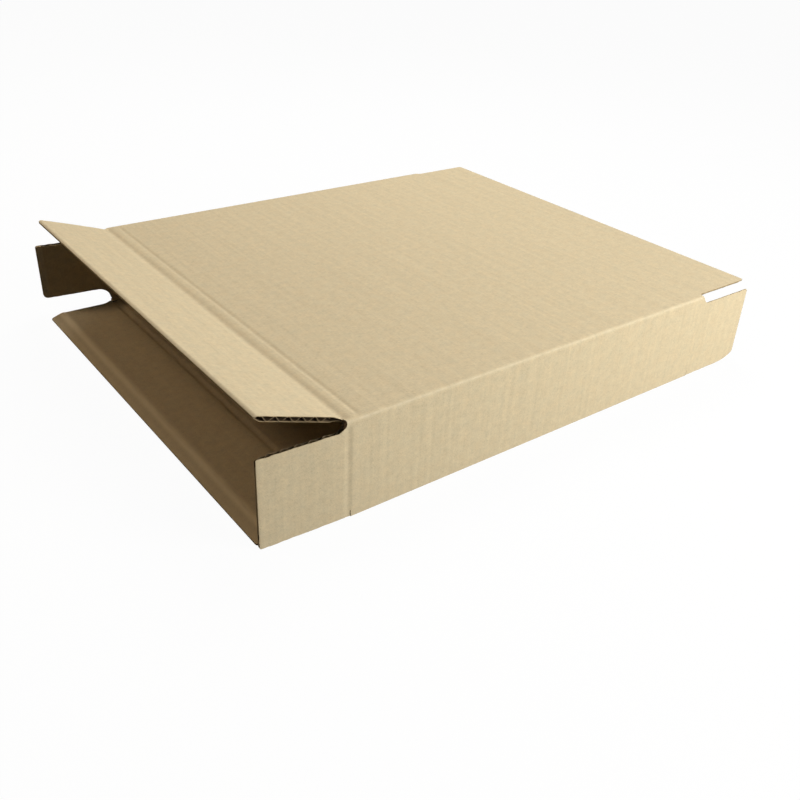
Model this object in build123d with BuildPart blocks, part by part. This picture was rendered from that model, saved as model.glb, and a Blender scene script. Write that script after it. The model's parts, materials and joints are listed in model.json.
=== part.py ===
from build123d import *

import os
from math import cos, hypot, radians, sin

# Slotted corrugated case, erected as an open sleeve with its eight end flaps folded out.
# Single-wall board, B flute, with the flutes running round the girth of the sleeve.
# The frame stands at the middle of the bottom panel's underside: +X runs along the sleeve from
# its left end to its right, +Y from the front panel to the back, and +Z up, with the case lying
# on its bottom panel. Sizes are in millimetres and angles in degrees.

# Case
SLEEVE_LENGTH = 237.0  # between the creases of the side flaps
CASE_WIDTH = 268.0  # over the outer faces of the front and back panels
CASE_HEIGHT = 50.0  # over the outer faces of the top and bottom panels
OVERLAP_ROOM = 6.0  # by how much the flaps' reach falls short of the case's height

# Board
BOARD = 2.9  # over both liners
LINER = 0.35
MEDIUM = 0.3  # the fluted sheet between the liners
FLUTE_PITCH = 6.5
FLUTE_CREST_RADIUS = 0.7

# Slots, folds and creases
SLOT_ROOM = 2.5  # from a panel's inner face to the edge that the slot leaves on the flap beside it
SLOT_END_RADIUS = 2.4  # round corner at the inner end of a slot
BACK_TRIM = 6.0  # by how much more the slot takes off the lower edge of the back flaps
FLAP_CORNER_RADIUS = 2.0  # outer corners of the flaps
WORN_CORNER_RADIUS = 6.0  # the softened lower corner of the right front flap
FOLD_RADIUS = 1.8  # outside of the long folds
CREASE_GAP = 0.15  # from a crease's pivot line to the board on either side
CRUSHED_ROOT = 1.0  # solid strip between a flap's bevelled root and its first flute
SCORE_INSET = 5.5  # from the left side crease to the thin second score on the top panel
SCORE_WIDTH = 2.4
SCORE_DEPTH = 0.35

# Clearances
NEST_GAP = 0.3  # between flaps that lie on one another when the case is shut
SWING_GAP = 0.4  # between a flap's edge and a panel that it swings past

# Glued tab, folded up from the bottom panel inside the front panel
TAB_HEADROOM = 15.0  # from the tab's upper edge to the top panel
TAB_MARGIN = 2.7  # from a shut front flap to the tab's end
TAB_TAPER = 5.0  # how far each end of the tab leans in over its height

# Resting angles, outward from the plane of the panel that carries the flap
LEFT_TOP_ANGLE = 19.5
LEFT_FRONT_ANGLE = -2.8
LEFT_BACK_ANGLE = 5.5
FLAT = 0.0

# Worked out from the sizes above
HALF_LENGTH = SLEEVE_LENGTH / 2
HALF_WIDTH = CASE_WIDTH / 2
FLAP_REACH = CASE_HEIGHT - OVERLAP_ROOM  # from the side crease to the blank's cut edge
SLOT_SETBACK = BOARD + SLOT_ROOM  # from the case's corner to the slotted edge of a flap
MAIN_HALF_WIDTH = HALF_WIDTH - SLOT_SETBACK
TOP_BACK_EDGE = HALF_WIDTH - BOARD - SWING_GAP  # a narrower slot at the back of the top flaps
TOP_STEP = BOARD + NEST_GAP  # the top flaps shut over the side flaps
BOTTOM_STEP = TOP_STEP + NEST_GAP  # the bottom flaps pivot on their inner liner and shut over the top flaps
SIDE_TOP_EDGE = CASE_HEIGHT - SLOT_SETBACK
BACK_LOW_EDGE = SLOT_SETBACK + BACK_TRIM
FRONT_LOW_EDGE = BOARD + SWING_GAP  # no slot at the cut edge of the blank, only a trim

os.makedirs("parts", exist_ok=True)


def flute_channel():
    """One open channel of the fluting: a triangle with its base on one liner and its round tip at the other."""
    core = BOARD - 2 * LINER
    half_pitch = FLUTE_PITCH / 2
    half_wall = MEDIUM / 2 * hypot(half_pitch, core) / core
    half_base = half_pitch - half_wall
    with BuildSketch() as channel:
        with BuildLine():
            Polyline((-half_base, 0), (half_base, 0), (0, core * half_base / half_pitch), close=True)
        make_face()
        fillet(channel.vertices().group_by(Axis.Y)[-1], FLUTE_CREST_RADIUS)
    return channel.sketch


def channel_places(length, offset):
    """Distances from the crease of every second channel, counted in from the flap's cut edge."""
    first_flute = CREASE_GAP + BOARD + CRUSHED_ROOT
    count = int((length - offset - first_flute) / FLUTE_PITCH)
    return [length - offset - FLUTE_PITCH * (index + 0.5) for index in range(count)]


def make_flap(
    name, crease, outward, inward, angle, length, width, first_corner=FLAP_CORNER_RADIUS, pivot_on_inner_liner=False
):
    """Cut one flap of fluted board and write it out.

    crease is the middle of the pivot line, outward the direction from the crease to the flap's
    cut edge while the flap lies in its panel's plane, inward the direction into the case, and
    angle the outward turn at rest. The root is bevelled on the side that closes up as it folds.
    first_corner is the radius of the outer corner that lies against the sense of outward x inward.
    """
    turn = radians(angle)
    along = Vector(*outward) * cos(turn) - Vector(*inward) * sin(turn)
    across = Vector(*outward).cross(Vector(*inward))
    section_plane = Plane(origin=crease, x_dir=along, z_dir=across)
    board_plane = Plane(origin=crease, x_dir=along, z_dir=along.cross(across))
    far_face = -BOARD if pivot_on_inner_liner else BOARD
    channel = flute_channel()
    with BuildPart() as flap:
        with BuildSketch(section_plane):
            with BuildLine():
                Polyline(
                    (CREASE_GAP, 0),
                    (length, 0),
                    (length, far_face),
                    (CREASE_GAP + BOARD, far_face),
                    close=True,
                )
            make_face()
            with Locations(*[(place, min(0, far_face) + LINER) for place in channel_places(length, 0)]):
                add(channel, mode=Mode.SUBTRACT)
            with Locations(
                *[(place, max(0, far_face) - LINER) for place in channel_places(length, FLUTE_PITCH / 2)]
            ):
                add(channel, rotation=180, mode=Mode.SUBTRACT)
        extrude(amount=width / 2, both=True)
        with BuildSketch(board_plane) as outline:
            Rectangle(length, width, align=(Align.MIN, Align.CENTER))
            for corner, radius in ((0, first_corner), (-1, FLAP_CORNER_RADIUS)):
                fillet(outline.vertices().group_by(Axis.X)[-1].sort_by(Axis.Y)[corner], radius)
        extrude(amount=BOARD, both=True, mode=Mode.INTERSECT)
    flap.part.label = name
    export_step(flap.part, f"parts/{name}.step")


# Sleeve: the four panels closed by the glued tab
top_tip = HALF_LENGTH + TOP_STEP - CREASE_GAP
bottom_tip = HALF_LENGTH + BOTTOM_STEP - CREASE_GAP
tab_foot = HALF_LENGTH - BOARD - SWING_GAP - TAB_MARGIN
tab_top = CASE_HEIGHT - BOARD - TAB_HEADROOM
score_place = SCORE_INSET - HALF_LENGTH

with BuildPart() as sleeve:
    # Girth: three round folds, and a square cut edge where the front panel meets the table
    with BuildSketch(Plane.YZ.offset(-HALF_LENGTH)) as girth:
        Rectangle(CASE_WIDTH, CASE_HEIGHT, align=(Align.CENTER, Align.MIN))
        fillet(girth.vertices().sort_by_distance((-HALF_WIDTH, 0))[1:], FOLD_RADIUS)
        with Locations((0, BOARD)):
            Rectangle(
                CASE_WIDTH - 2 * BOARD,
                CASE_HEIGHT - 2 * BOARD,
                align=(Align.CENTER, Align.MIN),
                mode=Mode.SUBTRACT,
            )
    extrude(amount=SLEEVE_LENGTH)

    # Lips of the top and bottom panels, which carry the main flaps past the round slot ends
    for height, tip, back_edge in (
        (CASE_HEIGHT - BOARD, top_tip, TOP_BACK_EDGE),
        (0, bottom_tip, MAIN_HALF_WIDTH),
    ):
        with BuildSketch(Plane.XY.offset(height)) as panel:
            Rectangle(SLEEVE_LENGTH, CASE_WIDTH - 2 * FOLD_RADIUS)
            with Locations((0, (back_edge - MAIN_HALF_WIDTH) / 2)):
                Rectangle(2 * tip, back_edge + MAIN_HALF_WIDTH)
            for edge in (-MAIN_HALF_WIDTH, back_edge):
                slot_end = min(
                    SLOT_END_RADIUS,
                    (tip - HALF_LENGTH) * 0.8,
                    (HALF_WIDTH - FOLD_RADIUS - abs(edge)) * 0.8,
                )
                inner_corners = panel.vertices().filter_by(
                    lambda v: abs(abs(v.X) - HALF_LENGTH) < CREASE_GAP / 2 and abs(v.Y - edge) < CREASE_GAP / 2
                )
                fillet(inner_corners, slot_end)
        extrude(amount=BOARD)

    # Glued tab against the inside of the front panel
    with BuildSketch(Plane.XZ.offset(HALF_WIDTH - BOARD)):
        with BuildLine():
            Polyline(
                (-tab_foot, 0),
                (tab_foot, 0),
                (tab_foot - TAB_TAPER, tab_top),
                (TAB_TAPER - tab_foot, tab_top),
                close=True,
            )
        make_face()
    extrude(amount=-BOARD)

    # Groove on the underside, between the front panel's cut edge and the fold of the tab
    with BuildSketch(Plane.YZ.offset(-HALF_LENGTH)):
        with Locations((BOARD - HALF_WIDTH, 0)):
            Polygon((0, 0), (FOLD_RADIUS, 0), (0, FOLD_RADIUS), align=None)
    extrude(amount=SLEEVE_LENGTH, mode=Mode.SUBTRACT)

    # Bevels at the main creases: inside on the top panel, outside on the bottom one
    with BuildSketch(Plane.XZ) as main_bevels:
        Polygon(
            (top_tip, CASE_HEIGHT),
            (top_tip, CASE_HEIGHT - BOARD),
            (top_tip - BOARD, CASE_HEIGHT - BOARD),
            align=None,
        )
        Polygon((bottom_tip, BOARD), (bottom_tip, 0), (bottom_tip - BOARD, 0), align=None)
        mirror(about=Plane.YZ)
    extrude(amount=HALF_WIDTH, both=True, mode=Mode.SUBTRACT)

    # Bevels at the side creases, only as tall as the flaps that swing there
    for low_edge, side in ((FRONT_LOW_EDGE, -1), (BACK_LOW_EDGE, 1)):
        with BuildSketch(Plane.XY.offset(low_edge - SWING_GAP)):
            Polygon(
                (HALF_LENGTH, side * HALF_WIDTH),
                (HALF_LENGTH - CREASE_GAP, side * HALF_WIDTH),
                (HALF_LENGTH - CREASE_GAP - BOARD, side * (HALF_WIDTH - BOARD)),
                (HALF_LENGTH, side * (HALF_WIDTH - BOARD)),
                align=None,
            )
            mirror(about=Plane.YZ)
        extrude(amount=SIDE_TOP_EDGE - low_edge + 2 * SWING_GAP, mode=Mode.SUBTRACT)

    # Thin second score across the top panel, about one flute in from the left main crease
    with BuildSketch(Plane.XZ):
        with Locations((score_place, CASE_HEIGHT)):
            Polygon((-SCORE_WIDTH / 2, 0), (0, -SCORE_DEPTH), (SCORE_WIDTH / 2, 0), align=None)
    extrude(amount=HALF_WIDTH, both=True, mode=Mode.SUBTRACT)

sleeve.part.label = "sleeve"
export_step(sleeve.part, "parts/sleeve.step")

# Flaps, four at each end
UP, DOWN, FORWARD, BACK = (0, 0, 1), (0, 0, -1), (0, -1, 0), (0, 1, 0)
front_middle = (FRONT_LOW_EDGE + SIDE_TOP_EDGE) / 2
back_middle = (BACK_LOW_EDGE + SIDE_TOP_EDGE) / 2
top_middle = (TOP_BACK_EDGE - MAIN_HALF_WIDTH) / 2

for end_name, end, top_angle, front_angle, back_angle, front_corner in (
    ("left", -1, LEFT_TOP_ANGLE, LEFT_FRONT_ANGLE, LEFT_BACK_ANGLE, FLAP_CORNER_RADIUS),
    ("right", 1, FLAT, FLAT, FLAT, WORN_CORNER_RADIUS),
):
    outward = (end, 0, 0)
    make_flap(
        f"{end_name}_top_flap",
        crease=(end * (HALF_LENGTH + TOP_STEP), top_middle, CASE_HEIGHT),
        outward=outward,
        inward=DOWN,
        angle=top_angle,
        length=FLAP_REACH - TOP_STEP,
        width=TOP_BACK_EDGE + MAIN_HALF_WIDTH,
    )
    make_flap(
        f"{end_name}_bottom_flap",
        crease=(end * (HALF_LENGTH + BOTTOM_STEP), 0, BOARD),
        outward=outward,
        inward=UP,
        angle=FLAT,
        length=FLAP_REACH - BOTTOM_STEP,
        width=2 * MAIN_HALF_WIDTH,
        pivot_on_inner_liner=True,
    )
    make_flap(
        f"{end_name}_front_flap",
        crease=(end * HALF_LENGTH, -HALF_WIDTH, front_middle),
        outward=outward,
        inward=BACK,
        angle=front_angle,
        length=FLAP_REACH,
        width=SIDE_TOP_EDGE - FRONT_LOW_EDGE,
        first_corner=front_corner,
    )
    make_flap(
        f"{end_name}_back_flap",
        crease=(end * HALF_LENGTH, HALF_WIDTH, back_middle),
        outward=outward,
        inward=FORWARD,
        angle=back_angle,
        length=FLAP_REACH,
        width=SIDE_TOP_EDGE - BACK_LOW_EDGE,
    )
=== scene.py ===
"""Slotted corrugated case, lying open as a sleeve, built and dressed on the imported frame.

The whole case is one creased blank of single-wall board, so every surface is worked out from the
blank's own flat coordinates: u runs along the sleeve, and v runs round its girth, from the front
panel's cut edge over the top, down the back and along the bottom. Lengths are in metres and angles
in radians unless a name says otherwise.
"""

from __future__ import annotations

import json
import logging
import math
from dataclasses import dataclass, field
from enum import Enum
from typing import Any

import bpy
import numpy as np
from bpy.types import Material, Node, NodeSocket, NodeTree, Object
from mathutils import Matrix, Vector


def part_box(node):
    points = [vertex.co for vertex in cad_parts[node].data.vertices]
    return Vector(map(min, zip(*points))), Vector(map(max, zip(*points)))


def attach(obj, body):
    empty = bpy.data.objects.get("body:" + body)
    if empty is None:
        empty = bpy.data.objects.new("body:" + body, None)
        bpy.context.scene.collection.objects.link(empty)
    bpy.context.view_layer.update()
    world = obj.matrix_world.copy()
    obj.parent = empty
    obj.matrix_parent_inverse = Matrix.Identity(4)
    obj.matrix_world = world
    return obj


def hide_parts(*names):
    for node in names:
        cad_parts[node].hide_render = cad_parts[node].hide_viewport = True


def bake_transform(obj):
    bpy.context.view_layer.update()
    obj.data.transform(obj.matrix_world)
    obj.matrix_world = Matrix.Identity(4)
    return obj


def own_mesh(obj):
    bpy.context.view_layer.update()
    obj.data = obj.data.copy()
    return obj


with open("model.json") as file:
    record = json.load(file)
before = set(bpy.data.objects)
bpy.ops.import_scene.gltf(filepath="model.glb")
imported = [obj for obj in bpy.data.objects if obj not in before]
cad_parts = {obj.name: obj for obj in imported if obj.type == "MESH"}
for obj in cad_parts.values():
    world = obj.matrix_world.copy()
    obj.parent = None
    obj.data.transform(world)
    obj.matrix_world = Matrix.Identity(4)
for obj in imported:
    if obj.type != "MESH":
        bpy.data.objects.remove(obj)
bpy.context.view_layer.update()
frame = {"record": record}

MM = 0.001
SHARP_ANGLE = math.radians(40.0)
WELD_STEPS = 1e7  # steps to the metre, so a tenth of a micron each
NOISE_LENGTH = 512
NOISE_START = 97.3
RAG_STEP = 1.7 * MM
FOLD_STEP = 0.36 * MM
BLANK_MAP = "blank"
RUB_AND_HIGHLIGHT_MARK = "crease_mark"
Array = np.ndarray
log = logging.getLogger("slotted_case")


class Face(Enum):
    """Finish of a face, in the order of a mesh's material slots."""

    OUTER = 0
    INNER = 1
    # Cut edges: the raw cut's own brown, made darker as painted shade of the board's edge.
    CUT = 2
    # Inside of the board: a near-black brown that paints the shade of the deep flute cells, though the
    # fluting is kraft.
    FLUTE = 3


class Panel(Enum):
    """Panel of the sleeve, in the order of the girth."""

    FRONT = "front"
    TOP = "top"
    BACK = "back"
    BOTTOM = "bottom"


class Draw(Enum):
    """Seed of a random draw."""

    RIPPLE = 3
    LOW_EDGE = 11
    HIGH_EDGE = 23
    LIP_EDGE = 31


def smoothstep(t: Array) -> Array:
    """Rise from 0 to 1 as 3t squared less 2t cubed, with t held between 0 and 1."""
    t = np.clip(t, 0.0, 1.0)
    return t * t * (3.0 - 2.0 * t)


def hollow(x: Array, middle: float, half_width: float) -> Array:
    """Groove of depth 1: half of one plus the cosine, one full turn wide, and 0 beyond it."""
    turn = np.clip((x - middle) / half_width, -1.0, 1.0)
    return 0.5 * (1.0 + np.cos(np.pi * turn))


def spread(start: float, end: float, step: float) -> Array:
    """Even positions from start to end, no further apart than step."""
    return np.linspace(start, end, max(1, math.ceil(abs(end - start) / step - 1e-6)) + 1)


def uneven(x: Array, step: float, draw: Draw) -> Array:
    """Seeded noise between -1 and 1 along a line, straight between values that are a step apart."""
    table = np.random.default_rng(draw.value).uniform(-1.0, 1.0, NOISE_LENGTH)
    return np.interp(np.mod(x / step + NOISE_START, NOISE_LENGTH - 1.0), np.arange(NOISE_LENGTH), table)


@dataclass(frozen=True)
class Board:
    """Single-wall corrugated board: two liners glued to a waved medium.

    The flutes run round the girth, so the wave repeats along u.
    """

    thickness: float = 2.9 * MM
    liner: float = 0.27 * MM
    medium: float = 0.20 * MM
    pitch: float = 6.5 * MM
    washboard: float = 0.010 * MM
    washboard_swing: float = 0.6
    glued_in: float = 0.02 * MM

    def ripple(self, u: Array) -> Array:
        """Print of the flutes through a liner: a cosine of the flute pitch, some flutes stronger."""
        stronger = 1.0 + self.washboard_swing * uneven(u, self.pitch, Draw.RIPPLE)
        return self.washboard * np.cos(2.0 * np.pi * u / self.pitch) * stronger

    def wave(self, u: Array) -> Array:
        """Depth of the medium's middle: half the board plus a cosine that reaches from liner to liner."""
        swing = 0.5 * (self.thickness - 2.0 * self.liner - self.medium) + self.glued_in
        return 0.5 * self.thickness + swing * np.cos(2.0 * np.pi * u / self.pitch)


@dataclass
class Skin:
    """Closed skins of one piece: points, four-sided faces, blank coordinates, marks and finishes."""

    points: list[Array] = field(default_factory=list)
    faces: list[Array] = field(default_factory=list)
    blank: list[Array] = field(default_factory=list)
    marks: list[Array] = field(default_factory=list)
    finish: list[Array] = field(default_factory=list)

    def add_slab(self, front: Array, back: Array, quads: Array, blank: Array, marks: Array,
                 finish: tuple[Face, Face, Face], like_front: Array | None = None) -> None:
        """Close the space between two matching surfaces.

        The back repeats the front's faces turned round. Every edge that only one face of the front
        uses is on the rim, and gets a wall to the same edge of the back.

        Args:
            front: Points of the surface that faces out of the board, n by 3.
            back: The matching points of the surface behind it, n by 3.
            quads: Faces of the front, m by 4.
            blank: Blank coordinates of the points, n by 2.
            marks: Paling of the points, from 0 for plain paper up to 1 or more for pale: rubbed liner with
                painted highlight at the folds, painted light on the bottom flap.
            finish: Finishes of the front, the back and the rim.
            like_front: True at the points where the rim has the front's finish instead.
        """
        start = sum(len(points) for points in self.points)
        count = len(front)
        edges = np.concatenate([quads[:, [0, 1]], quads[:, [1, 2]], quads[:, [2, 3]], quads[:, [3, 0]]])
        _, first, uses = np.unique(np.sort(edges, axis=1), axis=0, return_index=True, return_counts=True)
        rim = edges[first[uses == 1]]
        wall = np.column_stack([rim[:, 1], rim[:, 0], rim[:, 0] + count, rim[:, 1] + count])
        self.points.append(np.concatenate([front, back]))
        self.faces.append(np.concatenate([quads, quads[:, ::-1] + count, wall]) + start)
        self.blank.append(np.concatenate([blank, blank]))
        self.marks.append(np.concatenate([marks, marks]))
        sides = np.repeat([side.value for side in finish], [len(quads), len(quads), len(wall)])
        if like_front is not None:
            sides[2 * len(quads):][like_front[rim[:, 0]]] = finish[0].value
        self.finish.append(sides)

    def make(self, name: str, materials: list[Material]) -> Object:
        """Put the skins into one mesh object at the origin.

        Args:
            name: Name of the piece.
            materials: Materials in the order of Face.

        Returns:
            The new object, linked to the scene.
        """
        points, faces = np.concatenate(self.points), np.concatenate(self.faces)
        mesh = bpy.data.meshes.new(name)
        mesh.from_pydata(points.tolist(), [], faces.tolist())
        for material in materials:
            mesh.materials.append(material)
        mesh.polygons.foreach_set("material_index", np.concatenate(self.finish).astype(np.int32))
        corners = np.empty(len(mesh.loops), np.int32)
        mesh.loops.foreach_get("vertex_index", corners)
        layer = mesh.uv_layers.new(name=BLANK_MAP)
        layer.uv.foreach_set("vector", np.concatenate(self.blank)[corners].astype(np.float32).ravel())
        # Pale line of each point: rubbed liner with painted highlight at the folds, painted light on the
        # bottom flap.
        mark = mesh.attributes.new(RUB_AND_HIGHLIGHT_MARK, "FLOAT", "POINT")
        mark.data.foreach_set("value", np.concatenate(self.marks).astype(np.float32))
        mesh.shade_smooth()
        mesh.set_sharp_from_angle(angle=SHARP_ANGLE)
        mesh.update()
        piece = bpy.data.objects.new(name, mesh)
        bpy.context.scene.collection.objects.link(piece)
        return piece


def grid(u: Array, v: Array) -> tuple[Array, Array]:
    """Join a grid of blank coordinates, rows along v and columns along u, into faces.

    Args:
        u: Blank coordinate along the sleeve, rows by columns, rising along each row.
        v: Blank coordinate round the girth, of the same shape, rising along each column.

    Returns:
        The points, n by 2, and the faces, m by 4, which turn from u towards v.
    """
    rows, columns = u.shape
    index = np.arange(rows * columns).reshape(rows, columns)
    quads = np.stack([index[:-1, :-1], index[:-1, 1:], index[1:, 1:], index[1:, :-1]], axis=-1)
    return np.stack([u, v], axis=-1).reshape(-1, 2), quads.reshape(-1, 4)


def weld(patches: list[tuple[Array, Array]]) -> tuple[Array, Array]:
    """Join patches of one sheet where their blank coordinates agree to a weld step.

    Args:
        patches: Points and faces of each patch, as grid gives them.

    Returns:
        The points and the faces of the joined sheet.
    """
    points = np.concatenate([patch for patch, _ in patches])
    starts = np.cumsum([0] + [len(patch) for patch, _ in patches[:-1]])
    quads = np.concatenate([faces + start for (_, faces), start in zip(patches, starts)])
    _, first, place = np.unique(np.round(points * WELD_STEPS).astype(np.int64), axis=0,
                                return_index=True, return_inverse=True)
    return points[first], place.reshape(-1)[quads]


@dataclass
class Girth:
    """Path of the blank round the case, in the plane across the sleeve.

    A core path of straight runs joins the centres of the folds. The outer face lies a fold radius
    outside it, so each fold is a quarter of a circle. The inner face follows a core of its own.
    """

    half_width: float
    height: float
    board: Board
    fold_radius: float = 1.8 * MM
    inner_radius: float = 0.5 * MM
    core: Array = field(init=False)
    inner_core: Array = field(init=False)
    turn: Array = field(init=False)
    starts: Array = field(init=False)

    def __post_init__(self) -> None:
        """Lay out the seven runs: front, fold, top, fold, back, fold, bottom."""
        self.core = self.runs(self.fold_radius, 0.0)
        self.inner_core = self.runs(self.inner_radius, self.board.thickness)
        quarter = 0.5 * np.pi
        self.turn = quarter * np.array([[2, 2], [2, 1], [1, 1], [1, 0], [0, 0], [0, -1], [-1, -1]])
        lengths = np.linalg.norm(self.core[:, 1] - self.core[:, 0], axis=1)
        lengths += self.fold_radius * np.abs(self.turn[:, 1] - self.turn[:, 0])
        self.starts = np.concatenate([[0.0], np.cumsum(lengths)])

    @property
    def tab_fold(self) -> float:
        """Place along y where the bottom panel turns up into the glued tab."""
        return -(self.half_width - self.board.thickness - self.fold_radius)

    def runs(self, radius: float, inset: float) -> Array:
        """Core of one face of the board.

        Args:
            radius: Radius of the face at the folds.
            inset: Depth of the face under the outer one.

        Returns:
            Start and end of each run across the sleeve, 7 by 2 by 2.
        """
        side, low, high = self.half_width - inset - radius, inset + radius, self.height - inset - radius
        front, back, under = [-side, high], [side, high], [side, low]
        return np.array([[[-side, 0.0], front], [front, front], [front, back], [back, back],
                         [back, under], [under, under], [under, [self.tab_fold, low]]])

    def at(self, v: Array) -> tuple[Array, Array, Array]:
        """Find the board at places round the girth.

        Each face is its core plus its radius times the outward normal, whose angle is constant on a
        run and turns evenly through a fold.

        Args:
            v: Places round the girth.

        Returns:
            Outer face, inner face and outward normal, each n by 2 in y and z.
        """
        run = np.clip(np.searchsorted(self.starts, v, side="right") - 1, 0, 6)
        t = ((v - self.starts[run]) / (self.starts[run + 1] - self.starts[run]))[:, None]
        angle = self.turn[run, 0] + (self.turn[run, 1] - self.turn[run, 0]) * t[:, 0]
        normal = np.column_stack([np.cos(angle), np.sin(angle)])
        core = self.core[run, 0] * (1.0 - t) + self.core[run, 1] * t
        inner = self.inner_core[run, 0] * (1.0 - t) + self.inner_core[run, 1] * t
        return core + self.fold_radius * normal, inner + self.inner_radius * normal, normal

    def fold_middle(self, fold: int) -> float:
        """Middle of fold 0, 1 or 2, in the order of the girth."""
        return 0.5 * (self.starts[2 * fold + 1] + self.starts[2 * fold + 2])


@dataclass(frozen=True)
class Slot:
    """Slot at a fold: its edges before and after the fold's middle, and where its round end starts."""

    before: float
    after: float
    start: float

    @property
    def radius(self) -> float:
        """Half of the slot's width, which is also the radius of its round end."""
        return 0.5 * (self.before + self.after)

    @property
    def shift(self) -> float:
        """Distance from the middle of the fold to the middle of the slot."""
        return 0.5 * (self.after - self.before)


@dataclass
class Blank:
    """Outline of the blank: where its panels end, and the slots between the flaps."""

    board: Board
    girth: Girth
    half_length: float
    front_low: float
    bottom_front: float
    slots: tuple[Slot, Slot, Slot]
    slot_seam: float = 2.6 * MM
    crease_lead: float = 5.0 * MM
    crease_half: float = 3.2 * MM
    slot_starts: tuple[float, float, float] = (2.0 * MM, 1.0 * MM, 4.2 * MM)
    front_slot_tight: float = 0.9 * MM
    near_rows: tuple[float, ...] = (0.0, 0.5 * MM, 1.1 * MM, 1.8 * MM, 2.7 * MM, 3.8 * MM)
    row_step: float = 4.5 * MM

    @classmethod
    def from_frame(cls, board: Board) -> "Blank":
        """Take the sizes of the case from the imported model.

        Args:
            board: The board that the case is made of.

        Returns:
            The blank, as large as the CAD model.
        """
        _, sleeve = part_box("sleeve")
        boxes = {panel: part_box(f"right_{panel.value}_flap") for panel in Panel}
        girth = Girth(half_width=float(sleeve[1]), height=float(sleeve[2]), board=board)
        half_length = abs(Joint.named("right_front_crease").pivot[0])
        high, side = girth.height - girth.fold_radius, girth.half_width - girth.fold_radius
        bend = 0.25 * np.pi * girth.fold_radius
        slots = (
            Slot(high - boxes[Panel.FRONT][1][2] + bend - cls.front_slot_tight,
                 side + boxes[Panel.TOP][0][1] + bend, cls.slot_starts[0]),
            Slot(side - boxes[Panel.TOP][1][1] + bend, high - boxes[Panel.BACK][1][2] + bend,
                 cls.slot_starts[1]),
            Slot(boxes[Panel.BACK][0][2] - girth.fold_radius + bend,
                 side - boxes[Panel.BOTTOM][1][1] + bend, cls.slot_starts[2]),
        )
        bottom_front = girth.starts[6] + girth.core[6, 0, 0] - float(boxes[Panel.BOTTOM][0][1])
        return cls(board, girth, half_length, float(boxes[Panel.FRONT][0][2]), bottom_front, slots)

    def slot_edge(self, fold: int, side: int, past: Array) -> Array:
        """Edge of a slot: a half circle as wide as the slot at its inner end, then straight.

        Args:
            fold: Fold that the slot is at, in the order of the girth.
            side: -1 for the panel before the fold, 1 for the one after it.
            past: Distance past the ends of the front and back panels.

        Returns:
            Distance from the middle of the fold to the edge, no less than the seam of the panels.
        """
        slot = self.slots[fold]
        inside = slot.radius - np.clip(past - slot.start, 0.0, slot.radius)
        return np.maximum(np.sqrt(slot.radius ** 2 - inside ** 2) + side * slot.shift, self.slot_seam)

    def corner_end(self, v: Array, fold: int) -> Array:
        """End of the sleeve at a fold: the same circle, as a function of the place round the girth."""
        slot = self.slots[fold]
        away = np.clip(v - self.girth.fold_middle(fold), -self.slot_seam, self.slot_seam) - slot.shift
        return self.half_length + slot.start + slot.radius - np.sqrt(slot.radius ** 2 - away ** 2)

    def limits(self, panel: Panel) -> tuple[float, float]:
        """Span of a panel round the girth, between the seams beside its folds or at a free edge."""
        folds = [self.girth.fold_middle(fold) for fold in range(3)]
        low = [self.front_low] + [fold + self.slot_seam for fold in folds]
        high = [fold - self.slot_seam for fold in folds] + [self.bottom_front]
        order = list(Panel).index(panel)
        return low[order], high[order]

    def rows(self, panel: Panel) -> Array:
        """Places round the girth that the sleeve and a flap share, closer together beside the folds."""
        low, high = self.limits(panel)
        near = np.array(self.near_rows)
        even = spread(low + near[-1], high - near[-1], self.row_step)
        return np.concatenate([low + near[:-1], even, high - near[-2::-1]])


@dataclass(frozen=True)
class Joint:
    """Crease of a flap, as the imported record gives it."""

    name: str
    child: str
    pivot: Vector
    rest_angle: float

    @classmethod
    def named(cls, name: str) -> "Joint":
        """Read a joint of the frame; a shut flap stands square to its panel, which gives its rest.

        Args:
            name: Name of the joint.

        Returns:
            The crease, with the angle at which its flap rests, outward from its panel's plane.
        """
        for joint in frame["record"]["behaviour"]["joints"]:
            if joint["name"] == name:
                rest = math.radians(-90.0 - joint["range_deg"][0])
                return cls(name, joint["child"], Vector(joint["pos_m"]), rest)
        raise KeyError(name)


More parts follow.
